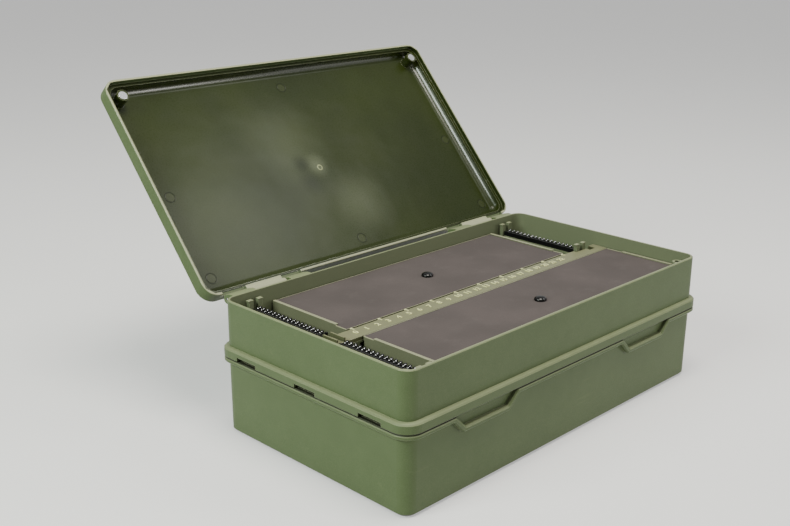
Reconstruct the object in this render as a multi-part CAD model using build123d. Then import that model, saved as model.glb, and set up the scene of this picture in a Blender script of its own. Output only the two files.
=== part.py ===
from build123d import *
import math
import os

# Sizes in millimetres. X runs along the box, +Y points to the hinges, z = 0 is the table.

# Walls of the lower box and of the tray
body_length = 352.2
body_width = 193.8
body_corner = 9.9
wall = 2.0
draft_degrees = 0.45
base_edge = 4.0
floor_thickness = 2.5

# Heights
seam_height = 62.7
bead_height = 4.2
skirt_height = 8.2
tray_height = 107.0
lid_depth = 14.0
lid_overlap = 3.9

# Flange bead of the lower box and skirt of the tray
overhang = 3.9
bead_bevel = 1.2
skirt_top_round = 2.4
skirt_bottom_bevel = 0.8
rim_bevel = 0.6
lip_rise = 3.5
lip_bevel = 0.6
seat_gap = 0.3
fit_gap = 0.05

# Finger pockets in the front bead
pocket_inset = 77.1
pocket_half_width = 33.0
pocket_depth = 10.3
pocket_slope = 45
pocket_bend = 2.0
pocket_margin = 4.0

# Notches in the ends of the skirt
notch_inset = 31.4
notch_width = 22.0
notch_rise = 3.8

# Knuckles of both hinges
hinge_reach = 7.6
lid_axis_drop = 5.0
knuckle_inset = 10.1
outer_knuckle = 22.0
middle_knuckle = 35.0
inner_knuckle = 20.2
knuckle_gap = 0.4
lid_knuckle_radius = 3.8
tray_knuckle_radius = 3.5
pin_radius = 1.25
pin_play = 0.05
pin_grip = 0.02
pin_end = 0.5
web_root = 1.0
web_gap = 0.2
web_reach = 3.6
web_slope = 1.5
web_skin = 0.4
web_drop = 3.0
tray_web_drop = 2.1

# Lid
lid_open_angle = 131.5
lid_overhang_x = 3.4
lid_overhang_y = 2.5
lid_wall = 2.0
lid_shelf = 3.0
lid_shelf_depth = 4.1
lid_shelf_ease = 1.5
lid_floor_depth = 12.0
lid_top_round = 4.0
lid_edge_bevel = 0.5
lid_cove = 6.5
lid_boss_drop = 1.0
lid_window = 3.5
lid_rim_gap = 0.4
arm_root = 0.5
arm_rise = 7.5
arm_lean = 1.0
arm_skin = 0.2
arm_reach = 3.0

# Magnets and the posts that carry them
magnet_inset_x = 10.4
magnet_inset_y = 12.3
magnet_radius = 3.7
magnet_thickness = 3.0
boss_wall = 1.5
catch_radius = 2.6
catch_wall = 1.8
catch_recess = 1.0
catch_gap = 2.8
base_gap = 0.6
base_cover = 1.5
gusset = 1.6

# Divider, ledges and the strip over the divider
board_seat = 91.7
ledge_thickness = 2.0
ledge_reach = 4.9
ledge_slope = 4.0
ledge_set_back = 3.0
divider_stem = 2.5
divider_half = 8.0
divider_wing = 12.0
support_offset = 3.8
support_width = 3.5
strip_thickness = 3.0
strip_front = 7.9
strip_rear = 7.0
strip_end_gap = 0.4
strip_bevel = 0.3
strip_rib_width = 1.2
strip_rib_rise = 3.3
strip_rib_offsets = (-4.8, 2.2)
strip_pocket_front = -1.0
strip_pocket_length = 8.2
strip_post_gap = 0.3
nub_pitch = 28.3
nub_width = 3.0
nub_reach = 0.8

# Lift-out boards
board_inset = 44.6
front_board_gap = 1.6
board_inner_gap = 0.7
board_outer_gap = 1.4
board_thickness = 1.5
board_corner = 2.0
end_skirt = 12.0
end_skirt_gap = 0.5
mat_thickness = 1.5
mat_gap = 0.1
side_rim = 0.5
end_rim = 1.1
board_lip_width = 2.6
board_lip_rise = 1.0
lip_inner_inset = 11.4
lip_outer_inset = 1.5
right_lip_inset = 17.4
right_lip_gap = 0.5
right_ledge_inset = 6.0
corner_notch_x = 14.5
corner_notch_y = 17.0
board_rib = 3.0
board_rib_width = 1.6
board_rib_gap = 1.0
board_rib_inset = 6.0
board_ribs = 3
knob_radius = 5.0
knob_height = 3.2
knob_side = 1.8
knob_side_lean = 20.0
knob_crown_lean = 62.0
knob_stem = 2.0
knob_foot = 0.8
knob_foot_height = 1.0

# Pin rails, their pins and the forked posts at their ends
rail_inset = 25.9
rail_width = 8.4
rail_top = 94.3
rail_height = 3.0
rail_pitch = 4.4
rail_margin = 0.9
rail_clearing = 12.5
rear_rail_gap = 6.2
front_rail_gap = 9.9
right_rail_gap = 6.4
keel_width = 3.0
keel_depth = 3.0
tooth_width = 1.5
tooth_length = 1.8
tooth_height = 1.5
ridge_width = 1.5
ridge_height = 1.2
pin_spacing = 2.8
rail_pin_side = 1.2
rail_pin_height = 2.2
rail_pin_depth = 2.0
fork_gap = 4.7
fork_width = 4.0
fork_length = 3.4
fork_clearance = 0.4
fork_top = 102.0
fork_drop = 1.0
fork_cap = 0.6
fork_cap_height = 1.2

# How far a rib or post bites into what carries it, and how far a cut runs past its piece
bite = 0.5
past = 1.0

# Flats that stand for a round on posts, discs, knobs and knuckles
round_sides = 16

# Shares of a rim's softening that its broad bevel and the narrow one beside it take
broad_bevel = 0.6
narrow_bevel = 0.3

# Derived
skirt_length = body_length + 2 * overhang
skirt_width = body_width + 2 * overhang
skirt_corner = body_corner + overhang
lid_length = body_length + 2 * lid_overhang_x
lid_width = body_width + 2 * lid_overhang_y
lid_corner = body_corner + lid_overhang_y
inner_x = body_length / 2 - wall
inner_y = body_width / 2 - wall
front_face = -skirt_width / 2
rear_face = skirt_width / 2
bead_bottom = seam_height - bead_height
tray_underside = seam_height + lip_rise + seat_gap
tray_floor = tray_underside + wall
skirt_top = seam_height + skirt_height
lid_lip = tray_height - lid_overlap
lid_top = lid_lip + lid_depth
axis_y = body_width / 2 + hinge_reach
lid_axis_z = tray_height - lid_axis_drop
pocket_offset = body_length / 2 - pocket_inset
notch_spacing = body_width / 2 - notch_inset
knuckle_outer = body_length / 2 - knuckle_inset
knuckle_middle_end = knuckle_outer - outer_knuckle - knuckle_gap
knuckle_middle_start = knuckle_middle_end - middle_knuckle
knuckle_inner = knuckle_middle_start - knuckle_gap - inner_knuckle
magnet_x = body_length / 2 - magnet_inset_x
magnet_y = body_width / 2 - magnet_inset_y
corners = [(-magnet_x, -magnet_y), (magnet_x, -magnet_y)]
ledge_bottom = board_seat - ledge_thickness
ledge_edge = inner_y - ledge_reach
strip_top = board_seat + strip_thickness
board_end = body_length / 2 - board_inset
front_board_right = inner_x - front_board_gap
board_inner_edge = strip_front + board_inner_gap
board_outer_edge = inner_y - board_outer_gap
board_top = board_seat + board_thickness
mat_top = board_top + mat_thickness
hidden_end = board_end - wall - end_skirt_gap
front_hidden_end = front_board_right - ledge_set_back
lip_start = board_inner_edge + lip_inner_inset
lip_end = board_outer_edge - lip_outer_inset
right_lip_start = board_inner_edge + right_lip_inset
right_lip_end = board_outer_edge - corner_notch_y - right_lip_gap
nub_count = int(2 * board_end / nub_pitch) + 1
support_x = board_end + support_offset
rail_x = body_length / 2 - rail_inset
rail_pairs = int((inner_y - strip_rear - rail_clearing) / rail_pitch)
right_rail_pairs = rail_pairs + 1
rail_length = rail_pairs * rail_pitch + 2 * rail_margin
right_rail_length = right_rail_pairs * rail_pitch + 2 * rail_margin
carrier_top = rail_top - rail_height
fork_outer = fork_gap / 2 + fork_width
rails = {
    "left_rear": (-rail_x, inner_y - rear_rail_gap - rail_length / 2, rail_pairs, rail_length),
    "left_front": (-rail_x, -inner_y + front_rail_gap + rail_length / 2, rail_pairs, rail_length),
    "right_rear": (rail_x, inner_y - right_rail_gap - right_rail_length / 2, right_rail_pairs,
                   right_rail_length),
}


def slab(size_x, size_y, corner, bottom, top):
    """Upright block with rounded corners between two heights."""
    return Pos(0, 0, bottom) * extrude(RectangleRounded(size_x, size_y, corner), top - bottom)


def block(x0, x1, y0, y1, z0, z1):
    """Plain block between two corners."""
    centre = Pos((x0 + x1) / 2, (y0 + y1) / 2, (z0 + z1) / 2)
    return centre * Box(abs(x1 - x0), abs(y1 - y0), abs(z1 - z0))


def post(x, y, radius, bottom, top, taper=0):
    """Upright post of many flats, with its wall leaning in by the taper."""
    return Pos(x, y, bottom) * extrude(RegularPolygon(radius, round_sides), top - bottom,
                                       taper=taper)


def across(profile, x0, x1):
    """Extrude a closed list of (y, z) points along X."""
    face = make_face(Polyline(*profile, close=True))
    return Pos(x0, 0, 0) * extrude(Plane.YZ * face, x1 - x0)


def rod(x0, x1, z, radius):
    """Round bar along a hinge axis."""
    return Pos((x0 + x1) / 2, axis_y, z) * Rot(0, 90, 0) * Cylinder(radius, abs(x1 - x0))


def bottom_edges(solid):
    """Edges round the lowest face."""
    return solid.faces().sort_by(Axis.Z)[0].edges()


def top_edges(solid):
    """Edges round the highest face."""
    return solid.faces().sort_by(Axis.Z)[-1].edges()


def eased(solid, edges_of, radius):
    """Soften a rim with a broad bevel and a narrow one beside the face."""
    solid = chamfer(edges_of(solid), radius * broad_bevel)
    return chamfer(edges_of(solid), radius * narrow_bevel)


def hinge_spans(middle):
    """X ranges of the middle knuckles, or of the four fixed ones, on both sides."""
    if middle:
        spans = [(knuckle_middle_start, knuckle_middle_end)]
    else:
        spans = [(knuckle_inner, knuckle_middle_start - knuckle_gap),
                 (knuckle_middle_end + knuckle_gap, knuckle_outer)]
    return spans + [(-b, -a) for a, b in spans]


def knuckle(x0, x1, z, radius, web, play):
    """Barrel with its web, drilled for the hinge pin."""
    outline = Plane.YZ * RegularPolygon(radius, round_sides)
    barrel = Pos(x0, axis_y, z) * extrude(outline, x1 - x0)
    bore = rod(x0 - past, x1 + past, z, pin_radius + play)
    return across(web, x0, x1) + barrel - bore


def hinge_pins(z):
    """The two steel pins of a hinge, ends just inside the outer knuckles."""
    return Compound([rod(side * (knuckle_inner + pin_end), side * (knuckle_outer - pin_end), z,
                         pin_radius) for side in (-1, 1)])


def discs(radius, bottom):
    """A pair of magnets, one over each front corner."""
    return Compound([post(x, y, radius, bottom, bottom + magnet_thickness) for x, y in corners])


# Lower box: tapered shell with a flange bead round the seam
def tapered(inset, corner, bottom):
    """Body outline at the seam, drawn in with the draft down to the bottom."""
    outline = RectangleRounded(body_length - 2 * inset, body_width - 2 * inset, corner)
    return Pos(0, 0, seam_height) * Rot(180, 0, 0) * extrude(
        outline, seam_height - bottom, taper=draft_degrees)


bead = slab(skirt_length, skirt_width, skirt_corner, bead_bottom, seam_height)
bead = chamfer(top_edges(bead), bead_bevel)
bead = chamfer(bottom_edges(bead), bead_bevel)
lower_box = eased(tapered(0, body_corner, 0), bottom_edges, base_edge) + bead

# Two finger pockets, where the bead dips below the seam
pocket_slant = pocket_half_width - pocket_depth / math.tan(math.radians(pocket_slope))
pocket_mitre = bead_height * math.tan(math.radians(pocket_slope / 2))
pocket_window = pocket_half_width + pocket_margin
pocket_back = -body_width / 2 + wall / 2
for middle in (-pocket_offset, pocket_offset):
    lower_box -= block(middle - pocket_window, middle + pocket_window, front_face - past,
                       -body_width / 2, bead_bottom - past, seam_height + past)
    outline = make_face(Polyline(
        (-pocket_window, seam_height), (-pocket_half_width, seam_height),
        (-pocket_slant, seam_height - pocket_depth), (pocket_slant, seam_height - pocket_depth),
        (pocket_half_width, seam_height), (pocket_window, seam_height),
        (pocket_window, bead_bottom), (pocket_half_width + pocket_mitre, bead_bottom),
        (pocket_slant + pocket_mitre, bead_bottom - pocket_depth),
        (-pocket_slant - pocket_mitre, bead_bottom - pocket_depth),
        (-pocket_half_width - pocket_mitre, bead_bottom), (-pocket_window, bead_bottom),
        close=True))
    bends = [v for v in outline.vertices() if abs(v.X) < pocket_window - bite]
    outline = fillet(bends, pocket_bend)
    ridge = Pos(middle, pocket_back, 0) * Rot(90, 0, 0) * extrude(
        outline, pocket_back - front_face)
    front = ridge.faces().sort_by(Axis.Y)[0]
    rims = [e for e in front.edges() if abs(e.center().X - middle) < pocket_window - bite]
    lower_box += chamfer(rims, bead_bevel)

# Inner lip that centres the tray, then the hollow
lip = slab(body_length - 2 * fit_gap, body_width - 2 * fit_gap, body_corner,
           seam_height - past, seam_height + lip_rise)
lower_box += chamfer(top_edges(lip), lip_bevel)
cavity = tapered(wall, body_corner - wall, floor_thickness)
lower_box -= chamfer(bottom_edges(cavity), base_edge - wall)
lower_box -= slab(2 * inner_x, 2 * inner_y, body_corner - wall, seam_height,
                  seam_height + lip_rise + past)

# Posts for the magnets that hold the tray down, webbed to both walls
lower_post_top = tray_underside - base_gap
web_top = lower_post_top - magnet_thickness - wall
post_foot = floor_thickness - bite
for x, y in corners:
    end_wall = math.copysign(inner_x + bite, x)
    lower_box += post(x, y, magnet_radius + boss_wall, post_foot, lower_post_top)
    lower_box += block(x, end_wall, y - gusset / 2, y + gusset / 2, post_foot, web_top)
    lower_box += block(x - gusset / 2, x + gusset / 2, y, -inner_y - bite, post_foot, web_top)
    lower_box -= post(x, y, magnet_radius + fit_gap, lower_post_top - magnet_thickness,
                      lower_post_top + past)
lower_magnets = discs(magnet_radius, lower_post_top - magnet_thickness)

# Knuckles on the rear of the bead
lower_web = [(rear_face - web_root, bead_bottom), (axis_y, seam_height - tray_knuckle_radius),
             (axis_y, seam_height), (rear_face - web_root, seam_height - web_gap)]
for x0, x1 in hinge_spans(False):
    lower_box += knuckle(x0, x1, seam_height, tray_knuckle_radius, lower_web, pin_grip)

# Tray: skirt over the lip, walls and floor
skirt = slab(skirt_length, skirt_width, skirt_corner, seam_height, skirt_top)
skirt = eased(skirt, top_edges, skirt_top_round)
skirt = chamfer(bottom_edges(skirt), skirt_bottom_bevel)
skirt -= slab(skirt_length - 2 * wall, skirt_width - 2 * wall, skirt_corner - wall,
              seam_height - past, skirt_top - wall)
upper_tray = slab(body_length, body_width, body_corner, tray_underside, tray_height)
upper_tray = skirt + chamfer(top_edges(upper_tray), rim_bevel)
upper_tray -= slab(2 * inner_x, 2 * inner_y, body_corner - wall, tray_floor, tray_height + past)
for side in (-1, 1):
    for row in (-1, 0, 1):
        middle = row * notch_spacing
        upper_tray -= block(side * (body_length / 2 + bite), side * (skirt_length / 2 + past),
                            middle - notch_width / 2, middle + notch_width / 2,
                            seam_height - past, seam_height + notch_rise)

# Divider with the flange that carries the strip and the inner edges of the boards
upper_tray += block(-inner_x - bite, inner_x + bite, -divider_stem / 2, divider_stem / 2,
                    tray_floor - bite, ledge_bottom + bite)
upper_tray += block(-inner_x - bite, inner_x + bite, -divider_half, strip_rear, ledge_bottom,
                    board_seat)
upper_tray += block(-hidden_end, hidden_end, 0, divider_wing, ledge_bottom, board_seat)
upper_tray += block(-hidden_end, front_hidden_end, -divider_wing, 0, ledge_bottom, board_seat)
for x, front in ((-support_x, -divider_half), (support_x, 0)):
    upper_tray += block(x - support_width / 2, x + support_width / 2, front, strip_rear,
                        tray_floor - bite, ledge_bottom + bite)

# Ledges along the long walls and at the right wall
for side, right in ((1, hidden_end), (-1, front_board_right - corner_notch_x - board_rib_gap)):
    profile = [(side * (inner_y + bite), board_seat), (side * ledge_edge, board_seat),
               (side * ledge_edge, ledge_bottom),
               (side * (inner_y + bite), ledge_bottom - ledge_slope)]
    upper_tray += across(profile, -hidden_end, right)
upper_tray += block(front_hidden_end - past, inner_x + bite, -right_lip_end + right_ledge_inset,
                    -divider_half, ledge_bottom, board_seat)

# End walls of the two compartments under the boards
for x0, front in ((-hidden_end, -inner_y - bite), (hidden_end - wall, 0)):
    upper_tray += block(x0, x0 + wall, front, inner_y + bite, tray_floor - bite, board_seat)

# Corner posts for the lid's magnets above and the tray's own magnets below
catch_post_top = lid_lip + lid_boss_drop - catch_gap
catch_top = catch_post_top - catch_recess
base_top = tray_underside + magnet_thickness
for x, y in corners:
    upper_tray += post(x, y, catch_radius + catch_wall, tray_floor - bite, catch_post_top)
    upper_tray += post(x, y, magnet_radius + boss_wall, tray_floor - bite, base_top + base_cover)
    upper_tray -= post(x, y, catch_radius + fit_gap, catch_top - magnet_thickness,
                       catch_post_top + past)
    upper_tray -= post(x, y, magnet_radius + fit_gap, tray_underside - past, base_top)
catch_magnets = discs(catch_radius, catch_top - magnet_thickness)
base_magnets = discs(magnet_radius, tray_underside)

# Slotted carriers for the three pin rails, with a forked post at each open end
slot_width = keel_width + 2 * fit_gap
for x, y, pairs, length in rails.values():
    half = length / 2
    upper_tray += block(x - rail_width / 2, x + rail_width / 2, y - half, y + half,
                        tray_floor - bite, carrier_top)
    upper_tray -= block(x - slot_width / 2, x + slot_width / 2, y - half - past, y + half + past,
                        carrier_top - keel_depth - fit_gap, carrier_top + past)
    far = math.copysign(1, y)
    ends = [(far, fork_top)]
    if x > 0:
        ends.append((-far, fork_top - fork_drop))
    for end, height in ends:
        edge = y + end * (half + fork_clearance)
        back = edge + end * fork_length
        for row in (-1, 1):
            inner = x + row * fork_gap / 2
            outer = x + row * fork_outer
            upper_tray += block(inner, outer, edge, back, tray_floor - bite, height)
            upper_tray += block(inner, outer + row * fork_cap, edge, back,
                                height - fork_cap_height, height)

# Knuckles at the rear rim for the lid
rim_y = body_width / 2
lid_web = [(rim_y - web_root, tray_height), (rim_y + web_reach, tray_height),
           (axis_y + web_slope, lid_axis_z + lid_knuckle_radius - web_skin),
           (axis_y, lid_axis_z),
           (axis_y - web_slope, lid_axis_z - lid_knuckle_radius + web_skin),
           (rim_y - web_root, lid_axis_z - lid_knuckle_radius - web_drop)]
for x0, x1 in hinge_spans(False):
    upper_tray += knuckle(x0, x1, lid_axis_z, lid_knuckle_radius, lid_web, pin_grip)

# Knuckles at the rear of the skirt for the lower box
tray_web = [(rear_face - web_root, skirt_top - tray_web_drop),
            (axis_y, seam_height + tray_knuckle_radius), (axis_y, seam_height),
            (rear_face - web_root, seam_height + web_gap)]
for x0, x1 in hinge_spans(True):
    upper_tray += knuckle(x0, x1, seam_height, tray_knuckle_radius, tray_web, pin_play)

# Strip over the divider, with nubs along its rear edge and two ribs at its left end
centre_strip = block(-inner_x + strip_end_gap, inner_x - strip_end_gap, -strip_front,
                     strip_rear, board_seat, strip_top)
centre_strip = chamfer(top_edges(centre_strip), strip_bevel)
for index in range(nub_count):
    x = (index - (nub_count - 1) / 2) * nub_pitch
    centre_strip += Pos(x, strip_rear, board_seat + strip_thickness / 2) * Box(
        nub_width, 2 * nub_reach, strip_thickness)
for offset in strip_rib_offsets:
    x = -rail_x + offset
    centre_strip += block(x - strip_rib_width / 2, x + strip_rib_width / 2, -strip_front,
                          strip_rear, strip_top - bite, strip_top + strip_rib_rise)

# At its right end the strip clears the forked post and leaves an open pocket behind it
fork_front = inner_y - right_rail_gap - right_rail_length - fork_clearance - fork_length
fork_reach = fork_outer + fork_cap + strip_post_gap
pocket_start = rail_x + fork_reach
pocket_end = pocket_start + strip_pocket_length
centre_strip -= block(rail_x - fork_reach, pocket_start + bite, fork_front - strip_post_gap,
                      strip_rear + past, board_seat - past, strip_top + past)
centre_strip -= block(pocket_start, pocket_end, strip_pocket_front, strip_rear + past,
                      board_seat - past, strip_top + past)
upper_tray -= block(pocket_start, pocket_end, divider_stem / 2, strip_rear + past,
                    ledge_bottom - past, board_seat + past)


# Lift-out boards
def board(x0, x1, side, left_lip, right_lip, right_skirt):
    """Plate with raised end lips, stiffening ribs below and end skirts, and its mat."""
    y0, y1 = side * board_inner_edge, side * board_outer_edge
    plate = block(x0, x1, y0, y1, board_seat, mat_top)
    plate = fillet(plate.edges().filter_by(Axis.Z), board_corner)
    low, high = board_inner_edge + side_rim, board_outer_edge - side_rim
    plate -= block(x0 + end_rim, x1 - end_rim, side * low, side * high, board_top,
                   mat_top + past)
    mat = block(x0 + end_rim + mat_gap, x1 - end_rim - mat_gap, side * (low + mat_gap),
                side * (high - mat_gap), board_top, mat_top)
    for x, inward, (start, end) in ((x0, 1, left_lip), (x1, -1, right_lip)):
        plate += block(x, x + inward * board_lip_width, side * start, side * end, board_top,
                       mat_top + board_lip_rise)
        mat -= block(x - inward, x + inward * (board_lip_width + mat_gap),
                     side * (start - mat_gap), side * (end + mat_gap), board_top - past,
                     mat_top + past)
    skirts = [(x0, x0 + wall)]
    if right_skirt:
        skirts.append((x1 - wall, x1))
    for a, b in skirts:
        plate += block(a, b, side * (board_inner_edge + board_corner),
                       side * (board_outer_edge - board_corner), board_seat - end_skirt,
                       board_seat + bite)
    half = board_rib_width / 2
    for index in range(board_ribs):
        x = x0 + (x1 - x0) * (index + 1) / (board_ribs + 1)
        plate += block(x - half, x + half, side * (divider_wing + board_rib_gap),
                       side * (ledge_edge - board_rib_gap), board_seat - board_rib,
                       board_seat + bite)
    middle = side * (board_inner_edge + board_outer_edge) / 2
    plate += block(x0 + board_rib_inset, x1 - board_rib_inset, middle - half, middle + half,
                   board_seat - board_rib, board_seat + bite)
    hole = post((x0 + x1) / 2, middle, knob_stem + fit_gap, board_seat - board_rib - past,
                mat_top + past)
    return plate - hole, mat - hole, knob((x0 + x1) / 2, middle)


def knob(x, y):
    """Low dome on a stem through the mat and the board, with a foot below."""
    foot_top = board_seat - board_rib
    shoulder = mat_top + knob_side
    shoulder_radius = knob_radius - knob_side * math.tan(math.radians(knob_side_lean))
    return (post(x, y, knob_stem + knob_foot, foot_top - knob_foot_height, foot_top)
            + post(x, y, knob_stem, foot_top, mat_top)
            + post(x, y, knob_radius, mat_top, shoulder, knob_side_lean)
            + post(x, y, shoulder_radius, shoulder, mat_top + knob_height, knob_crown_lean))


rear_board, rear_mat, rear_knob = board(
    -board_end, board_end, 1, (lip_start, lip_end), (lip_start, lip_end), True)
front_board, front_mat, front_knob = board(
    -board_end, front_board_right, -1, (lip_start, lip_end), (right_lip_start, right_lip_end),
    False)

# The front board is cut out round the right corner post
cut_out = block(front_board_right - corner_notch_x, front_board_right + past,
                -board_outer_edge - past, -board_outer_edge + corner_notch_y,
                board_seat - end_skirt, board_seat + end_skirt)
front_board -= cut_out
front_mat -= cut_out


# Pin rails: a flat bar with two grooves, a ridge on one edge, teeth on the other, a keel below
def rail(x, y, pairs, length):
    """Black rail whose keel sits in its carrier's slot."""
    solid = Pos(x, y, rail_top - rail_height / 2) * Box(rail_width, length, rail_height)
    solid += Pos(x, y, carrier_top - keel_depth / 2) * Box(keel_width, length, keel_depth)
    for row in (-1, 1):
        solid -= Pos(x + row * pin_spacing / 2, y, rail_top - rail_pin_depth / 2) * Box(
            rail_pin_side + 2 * pin_grip, pairs * rail_pitch, rail_pin_depth)
    for index in range(pairs + 1):
        offset = (index - pairs / 2) * rail_pitch
        tooth = Box(tooth_width, tooth_length, tooth_height)
        solid += Pos(x + (rail_width - tooth_width) / 2, y + offset,
                     rail_top + tooth_height / 2) * tooth
    solid += Pos(x - (rail_width - ridge_width) / 2, y, rail_top + ridge_height / 2) * Box(
        ridge_width, length, ridge_height)
    return solid


# Two rows of steel pins standing in the grooves of each rail
pin_centre = rail_top + (rail_pin_height - rail_pin_depth) / 2
rail_pins = []
for x, y, pairs, length in rails.values():
    for row in (-1, 1):
        for index in range(pairs):
            offset = (index - (pairs - 1) / 2) * rail_pitch
            rail_pins.append(Pos(x + row * pin_spacing / 2, y + offset, pin_centre) * Box(
                rail_pin_side, rail_pin_side, rail_pin_height + rail_pin_depth))

# Lid, drawn closed and then turned back to where it rests open
shelf_inset = lid_wall + lid_shelf
lid = slab(lid_length, lid_width, lid_corner, lid_lip, lid_top)
lid = eased(lid, top_edges, lid_top_round)
lid = chamfer(bottom_edges(lid), lid_edge_bevel)
lid -= slab(lid_length - 2 * lid_wall, lid_width - 2 * lid_wall, lid_corner - lid_wall,
            lid_lip - past, lid_lip + lid_shelf_depth)
hollow = slab(lid_length - 2 * shelf_inset, lid_width - 2 * shelf_inset,
              lid_corner - shelf_inset + lid_shelf_ease, lid_lip, lid_lip + lid_floor_depth)
lid -= fillet(top_edges(hollow), lid_cove)
boss_face = lid_lip + lid_boss_drop
for x, y in corners:
    lid += post(x, y, magnet_radius + boss_wall, boss_face, lid_lip + lid_floor_depth + bite)
    lid -= post(x, y, magnet_radius + fit_gap, boss_face - past, boss_face + magnet_thickness)
for x0, x1 in hinge_spans(False):
    lid -= block(x0 - knuckle_gap, x1 + knuckle_gap, lid_width / 2 - lid_window,
                 lid_width / 2 + past, lid_lip - past, tray_height + lid_rim_gap)
arm = [(lid_width / 2 - arm_root, lid_lip), (lid_width / 2 - arm_root, lid_lip + arm_rise),
       (axis_y + arm_lean, lid_axis_z + lid_knuckle_radius - arm_skin), (axis_y, lid_axis_z),
       (axis_y - arm_reach, lid_axis_z)]
for x0, x1 in hinge_spans(True):
    lid += knuckle(x0, x1, lid_axis_z, lid_knuckle_radius, arm, pin_play)


def opened(shape):
    """Turn a lid piece about the lid hinge to its open rest."""
    to_axis = Pos(0, axis_y, lid_axis_z)
    return to_axis * Rot(-lid_open_angle, 0, 0) * to_axis.inverse() * shape


parts = {
    "lower_box": lower_box,
    "lower_magnets": lower_magnets,
    "tray_hinge_pins": hinge_pins(seam_height),
    "upper_tray": upper_tray,
    "centre_strip": centre_strip,
    "catch_magnets": catch_magnets,
    "base_magnets": base_magnets,
    "lid_hinge_pins": hinge_pins(lid_axis_z),
    "rear_board": rear_board,
    "rear_mat": rear_mat,
    "rear_knob": rear_knob,
    "front_board": front_board,
    "front_mat": front_mat,
    "front_knob": front_knob,
    "lid": opened(lid),
    "lid_magnets": opened(discs(magnet_radius, boss_face)),
    "rail_pins": Compound(rail_pins),
}
for name, place in rails.items():
    parts[name + "_rail"] = rail(*place)

os.makedirs("parts", exist_ok=True)
for name, shape in parts.items():
    export_step(shape, f"parts/{name}.step")
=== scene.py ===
import math

import bmesh
import bpy
from mathutils import Matrix, Vector


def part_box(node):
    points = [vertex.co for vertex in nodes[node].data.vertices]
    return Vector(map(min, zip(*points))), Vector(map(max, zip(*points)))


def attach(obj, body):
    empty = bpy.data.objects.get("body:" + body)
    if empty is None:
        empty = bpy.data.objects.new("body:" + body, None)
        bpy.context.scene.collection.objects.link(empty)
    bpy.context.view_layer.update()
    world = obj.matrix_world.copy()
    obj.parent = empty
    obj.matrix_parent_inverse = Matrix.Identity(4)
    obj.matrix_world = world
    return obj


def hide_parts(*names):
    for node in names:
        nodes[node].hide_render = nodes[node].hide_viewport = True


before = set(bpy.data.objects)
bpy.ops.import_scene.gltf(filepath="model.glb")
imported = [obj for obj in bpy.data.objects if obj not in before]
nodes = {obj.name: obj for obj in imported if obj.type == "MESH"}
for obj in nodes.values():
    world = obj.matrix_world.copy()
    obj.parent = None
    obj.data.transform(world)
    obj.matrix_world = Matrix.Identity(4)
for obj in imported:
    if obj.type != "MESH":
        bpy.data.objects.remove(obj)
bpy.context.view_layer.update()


# Camera. It looks down over the box's front left corner, 0.93 m from the middle of its base, as
# the photograph does. Its right, up and back directions are the columns of its matrix.
eye = Vector((-0.64358, -0.54677, 0.39190))
heading, tilt, roll = (math.radians(a) for a in (44.647, -18.057, 0.336))
forward = Vector((math.cos(heading) * math.cos(tilt), math.sin(heading) * math.cos(tilt),
                  math.sin(tilt)))
level = Vector((math.sin(heading), -math.cos(heading), 0))
upward = level.cross(forward)
right = math.cos(roll) * level + math.sin(roll) * upward
upward = math.cos(roll) * upward - math.sin(roll) * level
lens = bpy.data.cameras.new("camera")
lens.lens = 50.79
lens.sensor_width = 36
lens.clip_start = 0.01
camera = bpy.data.objects.new("camera", lens)
camera.matrix_world = Matrix.Translation(eye) @ Matrix((right, upward, -forward)).transposed().to_4x4()
bpy.context.scene.collection.objects.link(camera)
bpy.context.scene.camera = camera


# Studio light. A large soft box on the left lights the end of the case, one overhead the
# boards, a weak one the front, and a small one on the right puts a sheen on the lid's inside.
def soft_box(name, place, aim, width, height, power, colour):
    """Rectangular lamp at a place, turned to face a point."""
    lamp = bpy.data.lights.new(name, "AREA")
    lamp.color = colour
    lamp.shape = "RECTANGLE"
    lamp.size = width
    lamp.size_y = height
    lamp.energy = power
    holder = bpy.data.objects.new(name, lamp)
    holder.location = place
    holder.rotation_euler = (Vector(aim) - Vector(place)).to_track_quat("-Z", "Y").to_euler()
    bpy.context.scene.collection.objects.link(holder)


soft_box("left_light", (-1.45, 0.15, 1.05), (0, 0, 0.08), 0.9, 0.7, 34.0, (0.90, 1.0, 0.91))
soft_box("top_light", (-0.1, -0.2, 1.5), (0, 0.0, 0.1), 0.7, 0.6, 26.0, (1.0, 0.95, 0.87))
soft_box("front_light", (0.95, -1.45, 0.5), (0, 0.05, 0.12), 0.22, 0.9, 9.0, (1.0, 0.97, 0.92))
soft_box("lid_light", (0.80, -0.47, 1.27), (-0.1, 0.13, 0.13), 0.40, 0.40, 5.0, (1.0, 1.0, 0.96))


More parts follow.
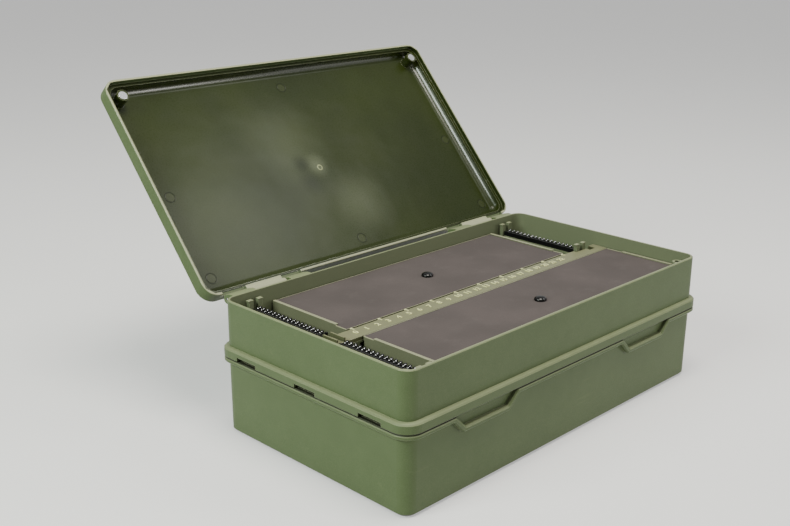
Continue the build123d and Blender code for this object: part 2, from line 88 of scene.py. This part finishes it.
# Room and floor. The floor is a wide disc of pale paper, and what lies beyond it is as pale,
# also where a surface mirrors it. That paleness is only seen: what lights the case is weaker.
class Signal:
    """An output of a shader node, so that a finish reads as sums on its values."""

    def __init__(self, tree, socket=None):
        self.tree = tree
        self.socket = socket

    def node(self, kind, sockets, output=0, **settings):
        """Any node: its settings first, then the values or links of its sockets."""
        made = self.tree.nodes.new("ShaderNode" + kind)
        for name, value in settings.items():
            setattr(made, name, value)
        for name, value in sockets.items():
            if isinstance(value, Signal):
                self.tree.links.new(value.socket, made.inputs[name])
            else:
                made.inputs[name].default_value = value
        return Signal(self.tree, made.outputs[output])

    def math(self, operation, *values):
        """Arithmetic on signals and numbers."""
        return self.node("Math", dict(enumerate(values)), operation=operation)

    def __add__(self, other):
        return self.math("ADD", self, other)

    def __sub__(self, other):
        return self.math("SUBTRACT", self, other)

    def __rsub__(self, other):
        return self.math("SUBTRACT", other, self)

    def __mul__(self, other):
        return self.math("MULTIPLY", self, other)

    def __abs__(self):
        return self.math("ABSOLUTE", self)

    __radd__ = __add__
    __rmul__ = __mul__

    def rise(self, start, end):
        """0 below start and 1 above end, with a smooth ramp between; falls if end is less."""
        low, high, flip = (start, end, False) if start < end else (end, start, True)
        ramp = self.node("MapRange", {"Value": self, "From Min": low, "From Max": high},
                         interpolation_type="SMOOTHSTEP")
        return 1 - ramp if flip else ramp

    def between(self, low, high):
        """A value from low, where this is 0, to high, where it is 1."""
        return self * (high - low) + low

    def tint(self, first, second):
        """A colour from first, where this is 0, to second, where it is 1."""
        return self.node("Mix", {0: self, 6: first, 7: second}, output=2, data_type="RGBA")

    def laid(self, tone, colour, share):
        """A tone with a share of another colour laid on it where this is 1."""
        return (self * share).tint(tone, colour)

    def along(self, direction):
        """How far a position lies along a direction."""
        return self.node("VectorMath", {0: self, 1: tuple(direction)}, output=1,
                         operation="DOT_PRODUCT")

    def away(self, point):
        """How far a position lies from a point."""
        return self.node("VectorMath", {0: self, 1: tuple(point)}, output=1,
                         operation="DISTANCE")

    def stretched(self, x, y, z):
        """A position with its three axes scaled."""
        return self.node("VectorMath", {0: self, 1: (x, y, z)}, operation="MULTIPLY")

    def cloud(self, size, detail=3.0, roughness=0.5):
        """Noise over a position, with features of about a size in metres."""
        return self.node("TexNoise", {"Vector": self, "Scale": 1 / size, "Detail": detail,
                                      "Roughness": roughness})

    def raised(self, strength, depth, normal=None):
        """Surface normal with this as relief, depth metres from 0 to 1."""
        links = {"Height": self, "Distance": depth, "Strength": strength}
        if normal:
            links["Normal"] = normal
        return self.node("Bump", links)


def seen_by(signal):
    """1 where the camera, a mirror or glass looks, and 0 for the light that falls on things."""
    straight = signal.node("LightPath", {}, output="Is Camera Ray")
    mirrored = signal.node("LightPath", {}, output="Is Glossy Ray")
    passed = signal.node("LightPath", {}, output="Is Transmission Ray")
    return signal.math("MAXIMUM", straight, signal.math("MAXIMUM", mirrored, passed))


def paint(red, green, blue):
    """A screen colour, 0 to 255, as the linear one that a shader takes."""
    parts = (c / 255 for c in (red, green, blue))
    return tuple(c / 12.92 if c < 0.04045 else ((c + 0.055) / 1.055) ** 2.4 for c in parts) + (1,)


def blank_finish(name):
    """A new material, its shader, and the position on the piece in metres."""
    material = bpy.data.materials.new(name)
    material.use_nodes = True
    shader = material.node_tree.nodes["Principled BSDF"]
    place = Signal(material.node_tree).node("TexCoord", {}, output="Object")
    return material, shader, place


def connect(shader, **signals):
    """Links each signal to the shader's socket of that name, with _ for a space."""
    tree = shader.id_data
    for name, signal in signals.items():
        tree.links.new(signal.socket, shader.inputs[name.replace("_", " ")])


room_light = 0.20
room_paleness = 0.72
world = bpy.data.worlds.new("room")
world.use_nodes = True
bpy.context.scene.world = world
backdrop = world.node_tree.nodes["Background"]
backdrop.inputs["Color"].default_value = (0.98, 0.98, 0.97, 1)
room_strength = seen_by(Signal(world.node_tree)).between(room_light, room_paleness)
world.node_tree.links.new(room_strength.socket, backdrop.inputs["Strength"])

floor_radius = 30
floor_facets = 96
floor_drop = 0.0002
floor_mesh = bpy.data.meshes.new("floor")
ground = bmesh.new()
bmesh.ops.create_circle(ground, cap_ends=True, segments=floor_facets, radius=floor_radius)
ground.to_mesh(floor_mesh)
ground.free()
floor = bpy.data.objects.new("floor", floor_mesh)
bpy.context.scene.collection.objects.link(floor)
floor.location.z = -floor_drop

unlit = (0, 0, 0, 1)
paper_glow = (0.44, 0.44, 0.435, 1)
floor_paper, paper_shader, paper_place = blank_finish("floor_paper")
connect(paper_shader,
        Base_Color=paper_place.cloud(0.6).tint(paint(190, 190, 188), paint(196, 196, 195)),
        Emission_Color=seen_by(paper_place).tint(unlit, paper_glow))
paper_shader.inputs["Roughness"].default_value = 0.7
paper_shader.inputs["Emission Strength"].default_value = 1.0
floor_mesh.materials.append(floor_paper)


# Lower box. An injection moulding in olive ABS, with a spark-eroded grain outside, the flange
# bead and its two finger pockets in front, and the fixed knuckles of the tray's hinge behind.
x_axis, y_axis, z_axis = (1, 0, 0), (0, 1, 0), (0, 0, 1)
olive_body = paint(76, 91, 57)
olive_shade = paint(70, 85, 51)
olive_pale = paint(150, 154, 122)
olive_roughness = 0.46
# Painted light that makes the inside of a hollow paler.
inside_painted_light = paint(112, 116, 96)
# Painted shade for narrow gaps, and how far from a gap it reaches.
painted_gap_shade = paint(12, 13, 9)
shade_reach = 0.007
# Painted shadow along the seam where the skirt meets the bead.
seam_shadow = paint(14, 15, 10)
seam_height = 0.0627
seam_below = 0.0008
seam_above = 0.0010
seam_fade = 0.0003
hollow_fade = 0.0004
hollow_floor_fade = 0.002
edge_ease = 0.0006
grain_size = 0.00045
grain_depth = 0.00010


def soft_edges(place, radius):
    """Normal of a surface whose edges are eased by a radius in metres."""
    return place.node("Bevel", {"Radius": radius}, samples=6)


def edge_mask(place, eased):
    """1 on an eased edge and 0 on the flats beside it."""
    flat = place.node("NewGeometry", {}, output="Normal")
    match = place.node("VectorMath", {0: eased, 1: flat}, output=1, operation="DOT_PRODUCT")
    return match.rise(0.995, 0.86)


def moulded(name, body, shade, pale, roughness, ease=edge_ease, hollow=None, seam=None):
    """Moulded plastic: grain, slow drift of tone, fine scuffs, and edges worn a little pale,
    partly as painted highlights.

    Faces that look up carry a thin painted highlight, edges are polished by hands, and narrow
    gaps are darkened with painted shade. A hollow gives the half length, half depth, floor and
    corner of a part whose inside is painted paler, as painted light, and a seam the height at
    which two parts meet, along which a band of painted shadow runs.
    """
    material, shader, place = blank_finish(name)
    drift = place.cloud(0.11, detail=4)
    mottle = place.cloud(0.012)
    grain = place.cloud(grain_size, detail=2)
    fine = place.cloud(0.0011, roughness=0.65)
    scuffs = place.stretched(1, 6, 9).cloud(0.05, detail=6, roughness=0.7).rise(0.60, 0.74)
    eased = soft_edges(place, ease)
    wear_and_highlight = edge_mask(place, eased) * place.cloud(0.02).between(0.5, 1.0)
    tone = (drift * 0.65 + mottle * 0.35).rise(0.3, 0.7).tint(shade, body)
    height = place.along(z_axis)
    if hollow:
        across = abs(place.along(x_axis))
        back = abs(place.along(y_axis))
        inner = across.rise(hollow["half_length"] + hollow_fade, hollow["half_length"])
        inner = inner * back.rise(hollow["half_depth"] + hollow_fade, hollow["half_depth"])
        inner = inner * height.rise(hollow["floor"], hollow["floor"] + hollow_floor_fade)
        inner = inner * (across + back).rise(hollow["corner"] + hollow_fade, hollow["corner"])
        # Painted light: the inside of the hollow is laid paler.
        tone = inner.laid(tone, inside_painted_light, share=0.55)
    # Painted highlight on faces that look up.
    top_highlight = place.node("TexCoord", {}, output="Normal").along(z_axis).rise(0.35, 0.9)
    tone = top_highlight.laid(tone, pale, share=place.cloud(0.008, detail=4).between(0.30, 0.46))
    # Painted shade in narrow gaps, where the occlusion is high.
    open_sky = place.node("AmbientOcclusion", {"Distance": shade_reach}, output="AO", samples=8)
    tone = open_sky.rise(0.52, 0.25).laid(tone, painted_gap_shade, share=0.88)
    # Painted shadow in a band about the seam.
    if seam:
        meeting = height.rise(seam - seam_below, seam - seam_below + seam_fade)
        meeting = meeting * height.rise(seam + seam_above, seam + seam_above - seam_fade)
        tone = meeting.laid(tone, seam_shadow, share=0.94)
    tone = grain.rise(0.35, 0.75).laid(tone, pale, share=0.10)
    # Edges laid pale, partly as wear and partly as a painted highlight.
    tone = (wear_and_highlight * 0.80 + scuffs * 0.08).tint(tone, pale)
    rough = roughness + (fine - 0.5) * 0.16 + scuffs * 0.06 - wear_and_highlight * 0.14
    bump = (grain * 0.6 + fine * 0.4).raised(0.55, grain_depth, eased)
    connect(shader, Base_Color=tone, Roughness=rough, Normal=bump, Coat_Weight=wear_and_highlight)
    shader.inputs["Coat Roughness"].default_value = 0.2
    shader.inputs["Specular IOR Level"].default_value = 0.22
    return material


def dress(node, material):
    """Gives a CAD node its finish."""
    piece = nodes[node]
    piece.data.materials.clear()
    piece.data.materials.append(material)


dress("lower_box", moulded("lower_shell", olive_body, olive_shade, olive_pale,
                           roughness=olive_roughness, seam=seam_height))


# Steel of the hinges and magnets. The pins are drawn stainless wire, pressed into the fixed
# knuckles, and the magnets are nickel-plated discs glued into their posts.
def metal(name, body, tarnish, roughness):
    """Bright metal with fine rubbing marks and a faint tarnish."""
    material, shader, place = blank_finish(name)
    film = place.cloud(0.004, detail=4).rise(0.35, 0.75)
    rubbed = place.stretched(9, 1, 1).cloud(0.002, detail=5, roughness=0.7)
    connect(shader, Base_Color=film.laid(body, tarnish, share=0.6),
            Roughness=roughness + (rubbed - 0.5) * 0.22 + film * 0.06,
            Normal=rubbed.raised(0.25, 0.00003, soft_edges(place, 0.0003)))
    shader.inputs["Metallic"].default_value = 1.0
    return material


hinge_steel = metal("hinge_steel", paint(205, 205, 206), paint(160, 158, 152), roughness=0.24)
nickel = metal("nickel_plate", paint(226, 228, 230), paint(176, 176, 172), roughness=0.18)
deep_nickel = metal("catch_plate", paint(70, 71, 68), paint(48, 48, 46), roughness=0.30)
for node in ("tray_hinge_pins", "lid_hinge_pins"):
    dress(node, hinge_steel)
for node in ("lower_magnets", "base_magnets", "lid_magnets"):
    dress(node, nickel)
dress("catch_magnets", deep_nickel)


# Upper tray. One moulding in the same olive: skirt with the end notches, walls, divider,
# ledges, magnet posts and the forked posts that hold the pin rails.
tray_hollow = {"half_length": 0.1744, "half_depth": 0.0952, "floor": 0.066, "corner": 0.2656}
dress("upper_tray", moulded("tray_shell", olive_body, olive_shade, olive_pale,
                            roughness=0.44, hollow=tray_hollow, seam=seam_height))


# Pin rails. Black moulded bars keyed into their carriers, each with two rows of steel pins
# whose ball heads stand out of the top, so that the loops of the rigs hook behind them.
rail_rows = ("left_rear_rail", "left_front_rail", "right_rear_rail")
rail_top = 0.0943
rail_ends = 0.0018
rail_ease = 0.0003
pin_pitch = 0.0044
pin_spacing = 0.0027
pin_stagger = 0.00065
pin_rise = 0.0023
pin_foot = 0.0020
pin_facets = 14
stem_radius = 0.00045
head_radius = 0.00078
head_rings = 6


def lathe(build, outline, x, y, facets):
    """Turns a list of (radius, height) points about an upright axis; a radius of 0 closes it."""
    rings = []
    for radius, height in outline:
        count = 1 if radius == 0 else facets
        rings.append([build.verts.new((x + radius * math.cos(math.tau * i / facets),
                                       y + radius * math.sin(math.tau * i / facets), height))
                      for i in range(count)])
    for low, high in zip(rings, rings[1:]):
        for i in range(facets):
            j = (i + 1) % facets
            corners = [low[i % len(low)], low[j % len(low)], high[j % len(high)],
                       high[i % len(high)]]
            build.faces.new(list(dict.fromkeys(corners)))


def as_piece(name, build, material, smooth=math.radians(35)):
    """Turns a mesh build into an object with a finish, with sharp edges above an angle."""
    bmesh.ops.recalc_face_normals(build, faces=build.faces)
    mesh = bpy.data.meshes.new(name)
    build.to_mesh(mesh)
    build.free()
    mesh.materials.append(material)
    mesh.shade_smooth()
    mesh.set_sharp_from_angle(angle=smooth)
    piece = bpy.data.objects.new(name, mesh)
    bpy.context.scene.collection.objects.link(piece)
    return piece


pins = bmesh.new()
head_centre = rail_top + pin_rise - head_radius
neck = math.acos(-math.sqrt(1 - (stem_radius / head_radius) ** 2))
head_turns = [neck * (1 - ring / head_rings) for ring in range(head_rings)]
pin_outline = [(0, rail_top - pin_foot), (stem_radius, rail_top - pin_foot)]
pin_outline += [(head_radius * math.sin(turn), head_centre + head_radius * math.cos(turn))
                for turn in head_turns]
pin_outline += [(0, rail_top + pin_rise)]
for node in rail_rows:
    rail_low, rail_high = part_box(node)
    rail_middle = (rail_low + rail_high) / 2
    pin_pairs = round((rail_high.y - rail_low.y - rail_ends) / pin_pitch)
    for row in (-1, 1):
        for index in range(pin_pairs):
            offset = (index - (pin_pairs - 1) / 2) * pin_pitch + row * pin_stagger / 2
            lathe(pins, pin_outline, rail_middle.x + row * pin_spacing / 2,
                  rail_middle.y + offset, pin_facets)
pin_steel = metal("pin_steel", paint(150, 150, 152), paint(112, 111, 108), roughness=0.16)
pin_heads = as_piece("rail_pin_heads", pins, pin_steel)
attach(pin_heads, "upper_tray")
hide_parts("rail_pins")

rail_black = moulded("rail_plastic", paint(10, 10, 10), paint(7, 7, 7), paint(30, 30, 29),
                     roughness=0.42, ease=rail_ease)
for node in rail_rows:
    dress(node, rail_black)


# Centre strip. A lighter moulding laid on the divider, with a row of nubs on its rear edge, a
# raised tick at each nub, and raised ruler numbers along its middle. The nubs are an inch of
# the ruler apart, and the numbers a centimetre.
strip_top = 0.0947
strip_front, strip_rear = -0.0079, 0.0070
strip_ease = 0.0004
mark_rise = 0.0004
mark_ease = 0.0002
nub_pitch = 0.0283
nub_count = 10
nub_row = nub_pitch * (nub_count - 1)
tick_length = 0.0030
tick_width = 0.0010
tick_bevel = 0.00012
cap_radius = 0.0010
cap_offset = 0.0006
cap_facets = 14
centimetres_in_inch = 2.54
number_pitch = nub_pitch / centimetres_in_inch
number_start = -0.0029
number_height = 0.0050
type_size = 1.4 * number_height
type_bevel = 0.00008
type_swell = 0.00010

marks = bmesh.new()
for index in range(nub_count):
    x = (index - (nub_count - 1) / 2) * nub_pitch
    tick_place = Matrix.Translation((x, strip_rear - tick_length / 2, strip_top))
    tick_size = Matrix.Diagonal((tick_width, tick_length, 2 * mark_rise, 1))
    tick = bmesh.ops.create_cube(marks, size=1, matrix=tick_place @ tick_size)
    tick_edges = dict.fromkeys(edge for corner in tick["verts"] for edge in corner.link_edges)
    bmesh.ops.bevel(marks, geom=list(tick_edges), offset=tick_bevel, segments=2, affect="EDGES")
    lathe(marks, [(0, strip_top - mark_rise), (cap_radius, strip_top - mark_rise),
                  (cap_radius, strip_top + mark_rise / 2), (cap_radius / 2, strip_top + mark_rise),
                  (0, strip_top + mark_rise)], x, strip_rear + cap_offset, cap_facets)
for number in range(int(nub_row / number_pitch) + 1):
    digits = bpy.data.curves.new("digits", "FONT")
    digits.body = str(number)
    digits.size = type_size
    digits.align_x = "CENTER"
    digits.align_y = "CENTER"
    digits.extrude = mark_rise
    digits.bevel_depth = type_bevel
    digits.offset = type_swell
    digits.resolution_u = 4
    holder = bpy.data.objects.new("digits", digits)
    bpy.context.scene.collection.objects.link(holder)
    bpy.context.view_layer.update()
    shape = bpy.data.meshes.new_from_object(
        holder.evaluated_get(bpy.context.evaluated_depsgraph_get()))
    shape.transform(Matrix.Translation((number_start + number * number_pitch - nub_row / 2,
                                        (strip_front + strip_rear) / 2, strip_top)))
    marks.from_mesh(shape)
    bpy.data.objects.remove(holder)
    bpy.data.curves.remove(digits)
    bpy.data.meshes.remove(shape)

dress("centre_strip", moulded("strip_plastic", paint(84, 87, 62), paint(77, 80, 56),
                              paint(138, 138, 110), roughness=0.42, ease=strip_ease))
mark_plastic = moulded("strip_marks", paint(178, 180, 126), paint(168, 170, 116),
                       paint(214, 214, 172), roughness=0.36, ease=mark_ease)
strip_marks = as_piece("strip_marks", marks, mark_plastic)
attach(strip_marks, "upper_tray")


# Lift-out boards. Thin olive mouldings with raised lips at their ends and ribs below, seated
# on the tray's ledges.
board_plastic = moulded("board_plastic", paint(98, 101, 80), paint(92, 95, 74),
                        paint(166, 166, 138), roughness=0.44)
for node in ("rear_board", "front_board"):
    dress(node, board_plastic)


# Mats. Sheets of dark closed-cell foam glued on the boards between their rims, into which
# the hooks' points are pressed. The front one is cut out at the right post.
mat_columns = 66
mat_rows = 22
mat_rise = 0.00012
mat_bevel = 0.0004
mat_ease = 0.0005
rim_width = 0.002
rim_dip = 0.00012
dent_radius = 0.011
dent_depth = 0.0005
broad_waves = (61, 83)
narrow_waves = (149, 97)
post_cut = (0.1580, -0.0765)
pore_size = 0.0007
pore_depth = 0.00018


def foam_finish():
    """Closed-cell foam: fine open pores on a soft skin, with a slow drift of tone."""
    material, shader, place = blank_finish("mat_foam")
    pores = place.node("TexVoronoi", {"Vector": place, "Scale": 1 / pore_size})
    skin = place.cloud(0.0005, roughness=0.6)
    drift = place.cloud(0.05, detail=4)
    prints = place.stretched(1, 1, 0).cloud(0.018, detail=5, roughness=0.62).rise(0.5, 0.8)
    speck = place.cloud(0.0012, detail=2).rise(0.62, 0.78)
    tone = drift.rise(0.3, 0.7).tint(paint(66, 60, 59), paint(74, 67, 66))
    tone = prints.laid(tone, paint(88, 82, 80), share=0.22)
    tone = speck.laid(tone, paint(98, 92, 90), share=0.25)
    # Painted shade darkens the pits of the pores.
    tone = pores.rise(0.5, 0.0).laid(tone, paint(52, 46, 45), share=0.35)
    relief = skin * 0.5 + pores.rise(0.0, 0.6) * 0.5
    connect(shader, Base_Color=tone, Roughness=skin * 0.1 + 0.84 - prints * 0.06,
            Normal=relief.raised(0.5, pore_depth, soft_edges(place, mat_ease)))
    shader.inputs["Specular IOR Level"].default_value = 0.3
    return material


def unevenness(x, y):
    """Rise and fall of a sheet's top, from -1 to 1, in broad and narrow waves."""
    broad = math.sin(x * broad_waves[0] + 1.3) * math.cos(y * broad_waves[1] + 0.4)
    narrow = math.sin(x * narrow_waves[0] - y * narrow_waves[1])
    return (broad + 0.5 * narrow) / 1.5


def foam_mat(name, node, cut, knob, body, material):
    """Foam sheet over a mat's solid, pressed down a little at its rim and round the knob.

    A cut is the inner corner of a notch in its front right corner.
    """
    low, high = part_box(node)
    xs = [low.x + (high.x - low.x) * i / mat_columns for i in range(mat_columns + 1)]
    ys = [low.y + (high.y - low.y) * j / mat_rows for j in range(mat_rows + 1)]
    cut_column, cut_row = mat_columns, 0
    if cut:
        cut_column = min(range(len(xs)), key=lambda i: abs(xs[i] - cut[0]))
        cut_row = min(range(len(ys)), key=lambda j: abs(ys[j] - cut[1]))
        xs[cut_column], ys[cut_row] = cut
    build = bmesh.new()
    top, base = {}, {}
    for i, x in enumerate(xs):
        for j, y in enumerate(ys):
            if i > cut_column and j < cut_row:
                continue
            rim = min(x - low.x, high.x - x, y - low.y, high.y - y)
            dip = 0.0 if rim > rim_width else rim_dip
            near = math.hypot(x - knob[0], y - knob[1])
            dent = dent_depth * max(0.0, 1 - near / dent_radius) ** 2
            height = high.z + mat_rise * unevenness(x, y) - dip - dent
            top[i, j] = build.verts.new((x, y, height))
            base[i, j] = build.verts.new((x, y, low.z))
    for i, j in top:
        square = [(i, j), (i + 1, j), (i + 1, j + 1), (i, j + 1)]
        if all(c in top for c in square) and not (i >= cut_column and j < cut_row):
            build.faces.new([top[c] for c in square])
            build.faces.new([base[c] for c in reversed(square)])
    below = {top[c]: base[c] for c in top}
    for edge in [e for e in build.edges if e.is_boundary and e.verts[0] in below]:
        first, second = edge.verts
        build.faces.new([first, second, below[second], below[first]])
    piece = as_piece(name, build, material, math.radians(50))
    ease = piece.modifiers.new("eased_edges", "BEVEL")
    ease.width = mat_bevel
    ease.segments = 3
    ease.limit_method = "ANGLE"
    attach(piece, body)
    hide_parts(node)


foam = foam_finish()
rear_knob_low, rear_knob_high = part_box("rear_knob")
front_knob_low, front_knob_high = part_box("front_knob")
rear_knob_at = (rear_knob_low + rear_knob_high) / 2
front_knob_at = (front_knob_low + front_knob_high) / 2
foam_mat("rear_foam", "rear_mat", None, rear_knob_at, "rear_board", foam)
foam_mat("front_foam", "front_mat", post_cut, front_knob_at, "front_board", foam)


# Knobs. Glossy black press-fit domes, by which a board is lifted: each has a flattened crown,
# an upright rim and a stem through the foam.
knob_radius = 0.0050
knob_rise = 0.0032
knob_stem = 0.0018
knob_rim = 0.0008
knob_ease = 0.0003
knob_undercut = 0.0002
crown_radius = 0.0006
crown_dips = (0.00003, 0.00004)
dome_turns = [math.radians(degrees) for degrees in range(9, 82, 9)]
knob_facets = 48

knob_gloss, knob_shader, knob_place = blank_finish("knob_plastic")
knob_dust = knob_place.cloud(0.0016, detail=4).rise(0.5, 0.8)
connect(knob_shader, Base_Color=knob_dust.laid(paint(8, 8, 8), paint(34, 34, 33), share=0.25),
        Roughness=knob_dust.between(0.08, 0.20),
        Normal=knob_place.cloud(0.0004, detail=2).raised(0.1, 0.00002))
knob_shader.inputs["Specular IOR Level"].default_value = 0.30
for node, centre, body in (("rear_knob", rear_knob_at, "rear_board"),
                           ("front_knob", front_knob_at, "front_board")):
    low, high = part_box(node)
    seat = high.z - knob_rise
    outline = [(0, low.z), (knob_stem, low.z), (knob_stem, seat - 2 * knob_undercut),
               (knob_radius - knob_ease, seat - knob_undercut), (knob_radius, seat + knob_ease),
               (knob_radius, seat + knob_rim)]
    outline += [(knob_radius * math.cos(turn),
                 seat + knob_rim + (knob_rise - knob_rim) * math.sin(turn)) for turn in dome_turns]
    outline += [(crown_radius, high.z - crown_dips[0]), (0, high.z - crown_dips[1])]
    build = bmesh.new()
    lathe(build, outline, centre.x, centre.y, knob_facets)
    knob = as_piece(node + "_dome", build, knob_gloss)
    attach(knob, body)
    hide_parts(node)


# Lid. An olive moulding like the others outside, but smooth and darker inside, where the
# plastic shows the gate at its middle and the round marks of the ejector pins. A place on it
# is given along the case, by its reach out from the hinge and its depth towards the open side.
hinge_line = Vector((0, 0.1045, 0.102))
open_angle = math.radians(131.5)
lid_out = Vector((0, -math.cos(open_angle), math.sin(open_angle)))
lid_in = Vector((0, -math.sin(open_angle), -math.cos(open_angle)))
lid_half_length = 0.1776
lid_near, lid_middle, lid_far = 0.0078, 0.1045, 0.2012
lid_corner = 0.2690
lid_floor = -0.0131
wall_fade = 0.0006
corner_fade = 0.0003
inner_body = paint(38, 46, 14)
inner_shade = paint(30, 38, 10)
inner_mottle = paint(60, 70, 38)
arm_grey = paint(88, 90, 76)
# Painted light on the lid: a highlight on the rim, sheen and dark reflections inside, shade on the
# hinge's side, a highlight round the gate and shade in the ejector grooves.
rim_painted_highlight = paint(186, 186, 156)
sheen_paint = paint(108, 114, 92)
dark_reflection_paint = paint(22, 30, 2)
hinge_side_shade = paint(24, 32, 4)
gate_highlight = paint(150, 156, 118)
groove_shade = paint(16, 22, 8)
ejector_pale = paint(120, 126, 92)

lid_material, lid_shader, lid_place = blank_finish("lid_shell")
dress("lid", lid_material)
lid_across = lid_place.along(x_axis)
lid_side = abs(lid_across)
lid_reach = lid_place.along(lid_out) - hinge_line.dot(lid_out)
lid_depth = lid_place.along(lid_in) - hinge_line.dot(lid_in)
inside = lid_side.rise(lid_half_length + wall_fade, lid_half_length)
inside = inside * lid_reach.rise(lid_near - wall_fade, lid_near)
inside = inside * lid_reach.rise(lid_far + wall_fade, lid_far)
corner_sum = lid_side + abs(lid_reach - lid_middle)
inside = inside * corner_sum.rise(lid_corner + corner_fade, lid_corner)
inside = inside * lid_depth.rise(lid_floor - 2 * wall_fade, lid_floor - wall_fade)

lid_drift = lid_place.cloud(0.09, detail=4)
lid_grain = lid_place.cloud(grain_size, detail=2)
lid_fine = lid_place.cloud(0.0011, roughness=0.65)
lid_eased = soft_edges(lid_place, edge_ease)
# Edges worn pale, partly as painted highlights.
lid_wear_and_highlight = edge_mask(lid_place, lid_eased) * lid_place.cloud(0.02).between(0.5, 1.0)
outer_tone = lid_drift.rise(0.3, 0.7).tint(olive_shade, olive_body)
outer_tone = lid_grain.rise(0.35, 0.75).laid(outer_tone, olive_pale, share=0.10)
hinge_arms = lid_reach.rise(0.0080, 0.0060)
outer_tone = hinge_arms.laid(outer_tone, arm_grey, share=0.6)
# Painted highlight on the rim's face.
lid_rim_highlight = lid_depth.rise(-0.0017, -0.0012)
outer_tone = lid_rim_highlight.laid(outer_tone, rim_painted_highlight, share=0.5)
inner_tone = lid_drift.rise(0.3, 0.7).tint(inner_shade, inner_body)
lid_mottle = lid_place.cloud(0.006, detail=4).rise(0.55, 0.8)
inner_tone = lid_mottle.laid(inner_tone, inner_mottle, share=0.10)

# Pale patches are a painted sheen of the lamps, dark ones a painted darker reflection, and
# the hinge's side gets painted shade.
lid_plan = lid_place.node("CombineXYZ", {"X": lid_across, "Y": lid_reach, "Z": 0.0})
for x, reach, spread, share in ((0.020, 0.059, 0.042, 0.24), (-0.029, 0.129, 0.056, 0.15),
                                (-0.120, 0.060, 0.085, 0.10), (-0.007, 0.100, 0.016, 0.35)):
    painted_sheen = lid_plan.away((x, reach, 0)).rise(spread, 0.0)
    inner_tone = painted_sheen.laid(inner_tone, sheen_paint, share)
for x, reach, spread in ((-0.021, 0.085, 0.017), (-0.022, 0.103, 0.013)):
    painted_dark_reflection = lid_plan.away((x, reach, 0)).rise(spread, 0.0)
    inner_tone = painted_dark_reflection.laid(inner_tone, dark_reflection_paint, share=0.9)
# Painted shade along the hinge's side of the inside.
hinge_shade_band = lid_reach.rise(0.019, 0.009)
inner_tone = hinge_shade_band.laid(inner_tone, hinge_side_shade, share=0.7)


def ring(distance, outer, inner, fade):
    """1 between two distances from a point and 0 elsewhere, with soft borders."""
    return distance.rise(outer, outer - fade) - distance.rise(inner, inner - fade)


gate_distance = lid_plan.away((-0.0043, 0.0972, 0))
# Painted highlight on the ring of the gate's boss.
gate_ring = ring(gate_distance, outer=0.0032, inner=0.0020, fade=0.0006)
inner_tone = gate_ring.laid(inner_tone, gate_highlight, share=0.7)
lid_marks = gate_distance.rise(0.0026, 0.0022) + gate_ring
for x, reach in ((0.0, 0.182), (-0.1615, 0.0985), (0.1615, 0.0985), (-0.161, 0.024),
                 (0.161, 0.024), (0.0, 0.023)):
    ejector_distance = lid_plan.away((x, reach, 0))
    groove = ring(ejector_distance, outer=0.0050, inner=0.0042, fade=0.0004)
    # Painted shade in each ejector ring's groove.
    inner_tone = groove.laid(inner_tone, groove_shade, share=0.75)
    inner_tone = ejector_distance.rise(0.0040, 0.0036).laid(inner_tone, ejector_pale, share=0.05)
    lid_marks = lid_marks - groove * 0.7
lid_tone = inside.tint(outer_tone, inner_tone)
# Edges laid pale, partly as wear and partly as a painted highlight.
lid_tone = lid_wear_and_highlight.laid(lid_tone, olive_pale, share=0.7)

# The inside is smooth, with a slow swirl about the gate, and glossy in the cove of its wall.
swirl = gate_distance.rise(0.055, 0.0)
lid_relief = lid_marks * 0.30 + swirl * 0.9 + lid_place.cloud(0.05, detail=2) * 1.3
lid_polish = lid_relief.raised(1.0, 0.0006, lid_eased)
lid_skin = (lid_grain * 0.6 + lid_fine * 0.4).raised(0.55, grain_depth, lid_eased)
lid_normal = inside.node("Mix", {0: inside, 4: lid_skin, 5: lid_polish}, output=1,
                         data_type="VECTOR")
lid_rough = inside.between(olive_roughness, 0.28) + (lid_fine - 0.5) * 0.12 - lid_wear_and_highlight * 0.10
lid_cove = inside * lid_depth.rise(lid_floor + 0.0003, lid_floor + 0.0014)
lid_cove = lid_cove * lid_depth.rise(lid_floor + 0.0075, lid_floor + 0.0065)
lid_cove = lid_cove * lid_reach.rise(0.015, 0.045)
connect(lid_shader, Base_Color=lid_tone, Roughness=lid_rough, Normal=lid_normal,
        Coat_Weight=lid_cove.math("MAXIMUM", lid_cove, lid_wear_and_highlight))
lid_shader.inputs["Coat Roughness"].default_value = 0.2
lid_shader.inputs["Specular IOR Level"].default_value = 0.14
